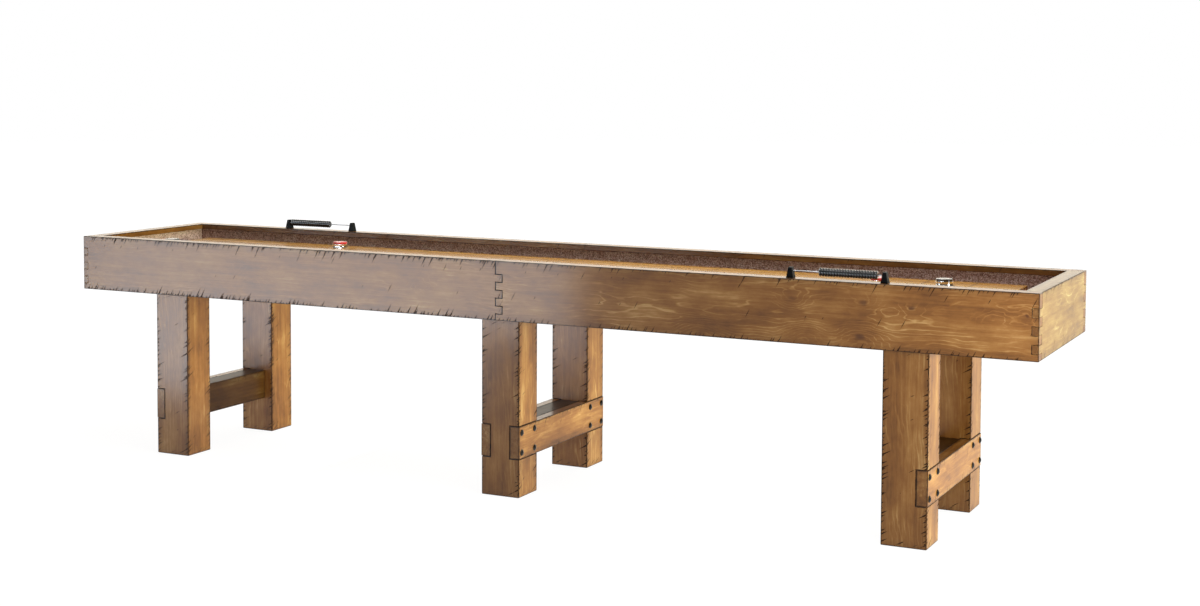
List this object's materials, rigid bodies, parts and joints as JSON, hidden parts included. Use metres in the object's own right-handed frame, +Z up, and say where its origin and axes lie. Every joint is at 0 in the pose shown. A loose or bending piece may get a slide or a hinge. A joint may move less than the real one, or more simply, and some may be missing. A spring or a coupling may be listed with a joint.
{
  "type": "shuffleboard table",
  "caption": "Long wooden shuffleboard table on three pairs of square legs, with a recessed maple playfield, carpeted gutters, bead scorers and sliding pucks.",
  "frame": {"origin": "on the floor under the middle of the table", "axes": "+X along the table's length, +Y towards the rear long side, +Z up"},
  "size_m": [3.658, 0.692, 0.8492],
  "materials": {
    "cabinet_wood": "distressed, satin lacquer",
    "leg_wood": "distressed, satin lacquer",
    "lip_wood": "satin lacquer",
    "inner_wood": "bare softwood and plywood",
    "playfield_maple": "gloss lacquer",
    "carpet": "short felt-backed pile",
    "steel": "zinc plated",
    "brass": "machined",
    "black_metal": "blackened, waxed",
    "black_plastic": "gloss",
    "bead_plastic": "gloss",
    "rod_steel": "drawn",
    "puck_chrome": "polished",
    "red_cap": "moulded",
    "black_cap": "moulded"
  },
  "bodies": {
    "table": {"adjuster_brackets": "steel", "adjuster_rods": "steel", "bottom_panels": "inner_wood", "cross_beam_left": "leg_wood", "cross_beam_middle": "leg_wood", "cross_beam_right": "leg_wood", "cross_bearers": "inner_wood", "end_lips": "lip_wood", "end_rail_left": "cabinet_wood", "end_rail_right": "cabinet_wood", "end_wall_carpets": "carpet", "floor_cleats": "inner_wood", "front_rail_left": "cabinet_wood", "front_rail_right": "cabinet_wood", "gutter_carpets": "carpet", "leg_bolts": "steel", "leg_left_front": "leg_wood", "leg_left_rear": "leg_wood", "leg_middle_front": "leg_wood", "leg_middle_rear": "leg_wood", "leg_right_front": "leg_wood", "leg_right_rear": "leg_wood", "leveler_inserts": "brass", "plate_bolts": "black_metal", "playfield": "playfield_maple", "playfield_risers": "inner_wood", "rear_rail_left": "cabinet_wood", "rear_rail_right": "cabinet_wood", "scorer_posts": "black_plastic", "scorer_rods": "rod_steel", "scorer_studs": "steel", "side_lips": "lip_wood", "side_plate_left": "leg_wood", "side_plate_middle_left": "leg_wood", "side_plate_middle_right": "leg_wood", "side_plate_right": "leg_wood", "side_wall_carpets": "carpet", "splice_plates": "steel"},
    "turnbuckle_1": {"turnbuckle_1": "steel"},
    "turnbuckle_2": {"turnbuckle_2": "steel"},
    "turnbuckle_3": {"turnbuckle_3": "steel"},
    "leveler_left_front": {"leveler_left_front": "steel"},
    "leveler_left_rear": {"leveler_left_rear": "steel"},
    "leveler_middle_front": {"leveler_middle_front": "steel"},
    "leveler_middle_rear": {"leveler_middle_rear": "steel"},
    "leveler_right_front": {"leveler_right_front": "steel"},
    "leveler_right_rear": {"leveler_right_rear": "steel"},
    "front_beads_held": {"front_beads_held": "bead_plastic"},
    "front_beads_counted": {"front_beads_counted": "bead_plastic"},
    "rear_beads_held": {"rear_beads_held": "bead_plastic"},
    "rear_beads_counted": {"rear_beads_counted": "bead_plastic"},
    "puck_red_far": {"puck_red_far_base": "puck_chrome", "puck_red_far_cap": "red_cap"},
    "puck_black_near": {"puck_black_near_base": "puck_chrome", "puck_black_near_cap": "black_cap"},
    "puck_red_near": {"puck_red_near_base": "puck_chrome", "puck_red_near_cap": "red_cap"},
    "puck_black_far": {"puck_black_far_base": "puck_chrome", "puck_black_far_cap": "black_cap"}
  },
  "joints": [
    {"name": "beads_front_held_slide", "type": "slide", "parent": "table", "child": "front_beads_held", "axis": [1, 0, 0], "range_m": [-0.036, 0.012]},
    {"name": "beads_front_counted_slide", "type": "slide", "parent": "front_beads_held", "child": "front_beads_counted", "axis": [1, 0, 0], "range_m": [-0.047, 0]},
    {"name": "beads_rear_held_slide", "type": "slide", "parent": "table", "child": "rear_beads_held", "axis": [1, 0, 0], "range_m": [0, 0.046]},
    {"name": "beads_rear_counted_slide", "type": "slide", "parent": "rear_beads_held", "child": "rear_beads_counted", "axis": [1, 0, 0], "range_m": [0, 0.048]},
    {"name": "disc_red_far_slide", "type": "slide", "parent": "table", "child": "puck_red_far", "axis": [1, 0, 0], "range_m": [-0.66, 2.62]},
    {"name": "disc_black_near_slide", "type": "slide", "parent": "table", "child": "puck_black_near", "axis": [1, 0, 0], "range_m": [-3.067, 0.213]},
    {"name": "disc_red_near_slide", "type": "slide", "parent": "table", "child": "puck_red_near", "axis": [1, 0, 0], "range_m": [-2.867, 0.413]},
    {"name": "disc_black_far_slide", "type": "slide", "parent": "table", "child": "puck_black_far", "axis": [1, 0, 0], "range_m": [-0.014, 3.266]},
    {"name": "leveler_left_front_turn", "type": "hinge", "parent": "table", "child": "leveler_left_front", "pos_m": [-1.421, -0.256, 0], "axis": [0, 0, 1], "continuous": true},
    {"name": "leveler_left_rear_turn", "type": "hinge", "parent": "table", "child": "leveler_left_rear", "pos_m": [-1.421, 0.256, 0], "axis": [0, 0, 1], "continuous": true},
    {"name": "leveler_middle_front_turn", "type": "hinge", "parent": "table", "child": "leveler_middle_front", "pos_m": [0, -0.256, 0], "axis": [0, 0, 1], "continuous": true},
    {"name": "leveler_middle_rear_turn", "type": "hinge", "parent": "table", "child": "leveler_middle_rear", "pos_m": [0, 0.256, 0], "axis": [0, 0, 1], "continuous": true},
    {"name": "leveler_right_front_turn", "type": "hinge", "parent": "table", "child": "leveler_right_front", "pos_m": [1.421, -0.256, 0], "axis": [0, 0, 1], "continuous": true},
    {"name": "leveler_right_rear_turn", "type": "hinge", "parent": "table", "child": "leveler_right_rear", "pos_m": [1.421, 0.256, 0], "axis": [0, 0, 1], "continuous": true},
    {"name": "turnbuckle_1_turn", "type": "hinge", "parent": "table", "child": "turnbuckle_1", "pos_m": [-0.948, 0, 0.702], "axis": [0, 1, 0], "continuous": true},
    {"name": "turnbuckle_2_turn", "type": "hinge", "parent": "table", "child": "turnbuckle_2", "pos_m": [0, 0, 0.702], "axis": [0, 1, 0], "continuous": true},
    {"name": "turnbuckle_3_turn", "type": "hinge", "parent": "table", "child": "turnbuckle_3", "pos_m": [0.948, 0, 0.702], "axis": [0, 1, 0], "continuous": true}
  ]
}
